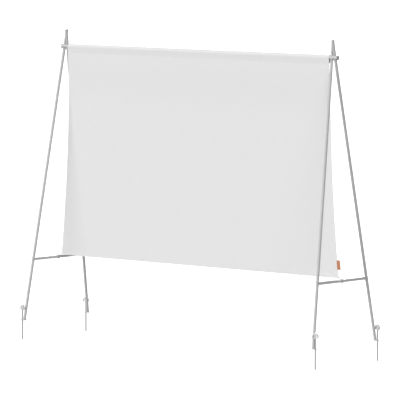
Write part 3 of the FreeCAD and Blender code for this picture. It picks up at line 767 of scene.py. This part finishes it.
RUBBED = 1.25  # how much lighter the coat is where edges are rubbed
COAT_VARIES, WEAVE_VARIES = 0.06, 0.05  # roughness either side of its own value
GRAIN_DEPTH, THREAD_DEPTH = 0.0004, 0.0002
WOVEN_ROUGHNESS, WOVEN_GLOSS = 0.85, 0.15
STREAKS = (40.0, 40.0, 3.0)  # long scratches, up and down

# Each finish, the colour it takes, and its look
HARD_FINISHES = (
    ("frame_paint", "paint", dict(roughness=0.3, spread=0.03, gloss=0.5)),
    ("frame_cap", "cap", dict(roughness=0.5, patch=60.0)),
    ("foot_metal", "foot", dict(roughness=0.42, spread=0.14, patch=70.0)),
    ("peg_steel", "steel", dict(roughness=0.42, metallic=0.1, spread=0.12, patch=110.0,
                                grain=2200.0)),
    ("peg_plastic", "plastic", dict(roughness=0.48, spread=0.03, patch=80.0, grain=2600.0,
                                    bump=0.03)))
WOVEN_FINISHES = (
    ("screen_fabric", "fabric", dict(threads=1200.0, spread=0.012, bump=0.12)),
    ("thread", "fabric", dict(threads=4000.0, spread=0.05, bump=0.2, on_fabric=False)),
    ("tag_ribbon", "ribbon", dict(threads=1600.0, spread=0.1, bump=0.5, sheen=0.2)),
    ("tie_cord", "cord", dict(threads=2600.0, spread=0.08, bump=0.4, on_fabric=False)))
FINISHES = {}


def new_tree(owner):
    owner.use_nodes = True
    owner.node_tree.nodes.clear()
    return owner.node_tree


def add_node(tree, kind, inputs=None, **settings):
    """The outputs of a new node, each of its inputs set to a value or to another's output."""
    node = tree.nodes.new(kind)
    for key, value in settings.items():
        setattr(node, key, value)
    for key, value in (inputs or {}).items():
        if isinstance(value, bpy.types.NodeSocket):
            tree.links.new(value, node.inputs[key])
        else:
            node.inputs[key].default_value = value
    return node.outputs


def noise_at(tree, place, scale, detail, roughness=0.5):
    return add_node(tree, "ShaderNodeTexNoise", {
        "Vector": place, "Scale": scale, "Detail": detail, "Roughness": roughness})["Fac"]


def combined(tree, operation, first, second):
    return add_node(tree, "ShaderNodeMath", {0: first, 1: second}, operation=operation)["Value"]


def new_group(name, inputs, outputs):
    """A node group that takes a Vector and those numbers, and its inputs as seen inside it."""
    group = bpy.data.node_groups.new(name, "ShaderNodeTree")
    group.interface.new_socket("Vector", in_out="INPUT", socket_type="NodeSocketVector")
    for label, value in inputs.items():
        socket = group.interface.new_socket(label, in_out="INPUT", socket_type="NodeSocketFloat")
        socket.default_value = value
    for label in outputs:
        group.interface.new_socket(label, in_out="OUTPUT", socket_type="NodeSocketFloat")
    return group, add_node(group, "NodeGroupInput")


def scuff_group():
    """Uneven tone, and the height of fine grain and scratches, for metal and plastic."""
    group, given = new_group("scuffs", {"Patch Scale": 9.0, "Grain Scale": 900.0},
                             ("Tone", "Height"))
    place = given["Vector"]
    patches = noise_at(group, place, given["Patch Scale"], 4.0, 0.6)
    grain = noise_at(group, place, given["Grain Scale"], 2.0)
    stretched = add_node(group, "ShaderNodeMapping", {"Vector": place, "Scale": STREAKS})["Vector"]
    streaks = noise_at(group, stretched, 9.0, 6.0, 0.7)
    scratches = add_node(group, "ShaderNodeMapRange", {
        "Value": streaks, "From Min": 0.64, "From Max": 0.72})["Result"]
    height = combined(group, "SUBTRACT", grain, scratches)
    add_node(group, "NodeGroupOutput", {"Tone": patches, "Height": height})
    return group


def worn_edge_group():
    """1 along edges and corners, broken up as rubbing leaves them, and 0 elsewhere."""
    group, given = new_group("worn_edges", {"Width": 0.7 * MM, "Patch Scale": 120.0}, ("Mask",))
    rounded = add_node(group, "ShaderNodeBevel", {"Radius": given["Width"]}, samples=4)["Normal"]
    flat = add_node(group, "ShaderNodeNewGeometry")["Normal"]
    turned = add_node(group, "ShaderNodeVectorMath", {0: rounded, 1: flat},
                      operation="DOT_PRODUCT")["Value"]
    edges = add_node(group, "ShaderNodeMapRange", {
        "Value": turned, "From Min": 0.99, "From Max": 0.88})["Result"]
    patches = noise_at(group, given["Vector"], given["Patch Scale"], 4.0, 0.65)
    broken = add_node(group, "ShaderNodeMapRange", {
        "Value": patches, "From Min": 0.42, "From Max": 0.62})["Result"]
    mask = combined(group, "MULTIPLY", edges, broken)
    add_node(group, "NodeGroupOutput", {"Mask": mask})
    return group


def weave_group():
    """Threads over and under: a height, and a tone that varies from thread to thread."""
    group, given = new_group("weave", {"Threads": 900.0}, ("Tone", "Height"))
    place = add_node(group, "ShaderNodeVectorMath", {0: given["Vector"], "Scale": given["Threads"]},
                     operation="SCALE")["Vector"]
    checks = add_node(group, "ShaderNodeTexChecker", {"Vector": place, "Scale": 1.0})["Fac"]
    warp, weft = (add_node(group, "ShaderNodeTexWave", {"Vector": place, "Scale": 0.5},
                           bands_direction=axis)["Fac"] for axis in ("X", "Y"))
    height = add_node(group, "ShaderNodeMix", {"Factor": checks, "A": warp, "B": weft},
                      data_type="FLOAT")["Result"]
    uneven = noise_at(group, place, 0.02, 3.0)
    add_node(group, "NodeGroupOutput", {"Tone": uneven, "Height": height})
    return group


def mixed(tree, factor, start, end):
    """A colour from start to end as the factor goes from 0 to 1."""
    return add_node(tree, "ShaderNodeMix", {"Factor": factor, "A": start, "B": end},
                    data_type="RGBA")["Result"]


def times(base, factor):
    return (*(min(channel * factor, 1) for channel in base), 1)


def shaded(tree, base, spread, tone):
    """A colour that varies by spread about base as tone goes from 0 to 1."""
    return mixed(tree, tone, times(base, 1 - spread), times(base, 1 + spread))


def ranged(tree, source, middle, either_side):
    """A value that goes from below to above its middle as the source goes from 0 to 1."""
    return add_node(tree, "ShaderNodeMapRange", {
        "Value": source, "To Min": middle - either_side, "To Max": middle + either_side})["Result"]


def hard_finish(tree, base, groups, roughness, metallic=0.0, spread=0.06, patch=9.0, grain=900.0,
                bump=0.05, gloss=0.4):
    """The look of painted or bare metal, or of plastic, with grain, scratches and worn edges."""
    place = add_node(tree, "ShaderNodeTexCoord")["Object"]
    wear = add_node(tree, "ShaderNodeGroup", {
        "Vector": place, "Patch Scale": patch, "Grain Scale": grain}, node_tree=groups["scuffs"])
    edges = add_node(tree, "ShaderNodeGroup", {"Vector": place}, node_tree=groups["worn_edges"])
    coat = shaded(tree, base, spread, wear["Tone"])
    return {
        "Base Color": mixed(tree, edges["Mask"], coat, times(base, RUBBED)),
        "Roughness": ranged(tree, wear["Tone"], roughness, COAT_VARIES),
        "Normal": add_node(tree, "ShaderNodeBump", {
            "Height": wear["Height"], "Strength": bump, "Distance": GRAIN_DEPTH})["Normal"],
        "Metallic": metallic,
        "Specular IOR Level": gloss}


def woven_finish(tree, base, groups, threads, spread, bump, on_fabric=True, sheen=0.0):
    """The look of woven cloth, ribbon or thread, its weave on the flat fabric if it has one."""
    if on_fabric:
        place = add_node(tree, "ShaderNodeUVMap", uv_map="fabric")["UV"]
    else:
        place = add_node(tree, "ShaderNodeTexCoord")["Object"]
    weave = add_node(tree, "ShaderNodeGroup", {"Vector": place, "Threads": threads},
                     node_tree=groups["weave"])
    return {
        "Base Color": shaded(tree, base, spread, weave["Tone"]),
        "Roughness": ranged(tree, weave["Height"], WOVEN_ROUGHNESS, WEAVE_VARIES),
        "Normal": add_node(tree, "ShaderNodeBump", {
            "Height": weave["Height"], "Strength": bump, "Distance": THREAD_DEPTH})["Normal"],
        "Specular IOR Level": WOVEN_GLOSS,
        "Sheen Weight": sheen}


def make_finishes(colours):
    groups = {"scuffs": scuff_group(), "worn_edges": worn_edge_group(), "weave": weave_group()}
    for finish, table in ((hard_finish, HARD_FINISHES), (woven_finish, WOVEN_FINISHES)):
        for name, colour_name, values in table:
            material = bpy.data.materials.new(name)
            tree = new_tree(material)
            look = finish(tree, getattr(colours, colour_name), groups, **values)
            shader = add_node(tree, "ShaderNodeBsdfPrincipled", look)["BSDF"]
            add_node(tree, "ShaderNodeOutputMaterial", {"Surface": shader})
            FINISHES[name] = material


def give_finish(piece, finish):
    piece.data.materials.clear()
    piece.data.materials.append(FINISHES[finish])


def dress(piece, finish, body=ROOT_BODY, nodes=()):
    """Gives a new piece its finish and the body it rides on, and hides the nodes it stands for."""
    give_finish(piece, finish)
    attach(piece, body)
    if nodes:
        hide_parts(*nodes)


# Stage

LIGHTS = (("front", -30), ("side", 55), ("back", 212))  # degrees to the right from the front
LIGHT_ELEVATION = 25
FLOOR_RADIUS, FLOOR_DROP = 220, 0.4 * MM
FLOOR_SHINE, FLOOR_SHADE = 0.95, (0.4, 0.4, 0.4, 1)  # how the camera sees the floor
SENSOR_WIDTH, FAR_CLIP = 36, 400


def soft_light(name, azimuth, spread, strength):
    """A wide, even light from far off."""
    light = bpy.data.lights.new(name, "SUN")
    light.angle = spread
    light.energy = strength
    lit = add_object(name, light)
    lit.rotation_euler = (math.radians(90 - LIGHT_ELEVATION), 0, math.radians(azimuth))


def background_rays(tree):
    """1 for rays from the camera, and for those that gloss and glass send on."""
    rays = add_node(tree, "ShaderNodeLightPath")
    sent_on = combined(tree, "MAXIMUM", rays["Is Glossy Ray"], rays["Is Transmission Ray"])
    return combined(tree, "MAXIMUM", rays["Is Camera Ray"], sent_on)


def make_world(fill_strength):
    world = bpy.data.worlds.new("studio")
    bpy.context.scene.world = world
    tree = new_tree(world)
    fill, seen = (add_node(tree, "ShaderNodeBackground", {
        "Color": (1, 1, 1, 1), "Strength": strength})["Background"]
        for strength in (fill_strength, 1.0))
    mix = add_node(tree, "ShaderNodeMixShader", {0: background_rays(tree), 1: fill, 2: seen})
    add_node(tree, "ShaderNodeOutputWorld", {"Surface": mix["Shader"]})


def make_floor(base):
    """The pale floor, which only the camera sees as almost white, but for the shadows on it."""
    floor = add_primitive(bpy.ops.mesh.primitive_circle_add, "stage_floor", vertices=96,
                          radius=FLOOR_RADIUS, fill_type="NGON", location=(0, 0, -FLOOR_DROP))
    material = bpy.data.materials.new("pale_floor")
    tree = new_tree(material)
    matt = add_node(tree, "ShaderNodeBsdfDiffuse", {"Color": (*base, 1)})["BSDF"]
    shine = add_node(tree, "ShaderNodeEmission", {"Strength": FLOOR_SHINE})["Emission"]
    shade = add_node(tree, "ShaderNodeBsdfDiffuse", {"Color": FLOOR_SHADE})["BSDF"]
    seen = add_node(tree, "ShaderNodeAddShader", {0: shine, 1: shade})["Shader"]
    mix = add_node(tree, "ShaderNodeMixShader", {0: background_rays(tree), 1: matt, 2: seen})
    add_node(tree, "ShaderNodeOutputMaterial", {"Surface": mix["Shader"]})
    floor.data.materials.append(material)


def add_camera(stage):
    camera = bpy.data.cameras.new("camera")
    camera.lens = stage.lens
    camera.sensor_width = SENSOR_WIDTH
    camera.clip_end = FAR_CLIP
    viewer = add_object("camera", camera)
    viewer.location = stage.camera_place
    viewer.rotation_euler = (math.radians(90) - stage.elevation, 0, stage.azimuth)
    bpy.context.scene.camera = viewer


# Operators


class SCREEN_OT_finishes(bpy.types.Operator):
    """Makes the materials and gives them to the tubes, caps, feet and pegs"""
    bl_idname = "screen.finishes"
    bl_label = "Finishes"

    def execute(self, context):
        make_finishes(context.scene.screen_colours)
        for part in RECORD["subparts"]:
            node = frame["nodes"][part["node"]]
            give_finish(node, part["material_slot"])
            smooth(node, FRAME_CREASE)
        return {"FINISHED"}


class SCREEN_OT_cloth(bpy.types.Operator):
    """Hangs the screen cloth with its sleeve, hems and stitching"""
    bl_idname = "screen.cloth"
    bl_label = "Screen Cloth"

    def execute(self, context):
        sizes = context.scene.screen_cloth
        shape = ClothShape(sizes)
        cloth = build_cloth(shape)
        dress(cloth, "screen_fabric", nodes=["screen_cloth"])
        hems = [build_side_hem(shape, label, side) for label, side in SIDES]
        hems.append(build_bottom_hem(shape))
        for hem in hems:
            dress(hem, "screen_fabric")
        stitching = build_stitching(shape)
        for rows in stitching:
            dress(rows, "thread")
        return {"FINISHED"}


class SCREEN_OT_tag(bpy.types.Operator):
    """Folds the ribbon tag over the cloth's right edge"""
    bl_idname = "screen.tag"
    bl_label = "Ribbon Tag"

    def execute(self, context):
        tag = build_tag(ClothShape(context.scene.screen_cloth))
        dress(tag, "tag_ribbon", nodes=["side_tag"])
        return {"FINISHED"}


class SCREEN_OT_ties(bpy.types.Operator):
    """Ties the cloth's lower corners to the spreaders"""
    bl_idname = "screen.ties"
    bl_label = "Corner Ties"

    def execute(self, context):
        sizes = context.scene.screen_ties
        for label, side in SIDES:
            points, *knot_place = tie_route(sizes, label, side)
            path = smooth_line(f"tie_line_{label}", points)
            cord = twisted_cord(f"corner_tie_cord_{label}", path, sizes.cord, sizes.lay)
            knot = twisted_cord(f"tie_knot_cord_{label}", knot_path(sizes, *knot_place),
                                sizes.cord * KNOT_CORD, sizes.lay * KNOT_CORD)
            dress(cord, "tie_cord", nodes=[f"corner_tie_{label}"])
            dress(knot, "tie_cord", nodes=[f"tie_knot_{label}"])
            run = sum((b - a).length for a, b in zip(path, path[1:]))
            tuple(points[0])
        return {"FINISHED"}


class SCREEN_OT_welds(bpy.types.Operator):
    """Adds the weld beads at the feet and at the spreaders' eyes"""
    bl_idname = "screen.welds"
    bl_label = "Welds"

    def execute(self, context):
        sizes = context.scene.screen_frame
        for name in LEG_NAMES:
            dress(build_foot_weld(sizes, name), "foot_metal", body=f"leg_{name}")
            dress(build_eye_weld(sizes, name), "frame_paint")
        return {"FINISHED"}


class SCREEN_OT_stage(bpy.types.Operator):
    """Sets up the pale floor, the soft light and the camera"""
    bl_idname = "screen.stage"
    bl_label = "Stage"

    def execute(self, context):
        stage = context.scene.screen_stage
        make_world(stage.fill)
        make_floor(context.scene.screen_colours.floor)
        for name, azimuth in LIGHTS:
            soft_light(f"{name}_light", azimuth, stage.spread, getattr(stage, name))
        add_camera(stage)
        context.scene.view_settings.view_transform = "Standard"
        return {"FINISHED"}


class SCREEN_PT_panel(bpy.types.Panel):
    """Lists the steps that dress the projection screen"""
    bl_idname = "SCREEN_PT_panel"
    bl_label = "Projection Screen"
    bl_space_type = "VIEW_3D"
    bl_region_type = "UI"
    bl_category = "Screen"

    def draw(self, context):
        for step in STEPS:
            self.layout.operator(step)


GROUPS = {"screen_cloth": ScreenClothSizes, "screen_ties": ScreenTieSizes,
          "screen_frame": ScreenFrameSizes, "screen_colours": ScreenColours,
          "screen_stage": ScreenStage}
OPERATORS = (SCREEN_OT_finishes, SCREEN_OT_cloth, SCREEN_OT_tag, SCREEN_OT_ties, SCREEN_OT_welds,
             SCREEN_OT_stage)
STEPS = [operator.bl_idname for operator in OPERATORS]
CLASSES = (*GROUPS.values(), *OPERATORS, SCREEN_PT_panel)


def register():
    for item in CLASSES:
        bpy.utils.register_class(item)
    for name, group in GROUPS.items():
        setattr(bpy.types.Scene, name, PointerProperty(type=group))


def unregister():
    for name in GROUPS:
        delattr(bpy.types.Scene, name)
    for item in reversed(CLASSES):
        bpy.utils.unregister_class(item)


def main():
    register()
    for step in STEPS:
        family, name = step.split(".")
        getattr(getattr(bpy.ops, family), name)()


if __name__ == "__main__":
    main()
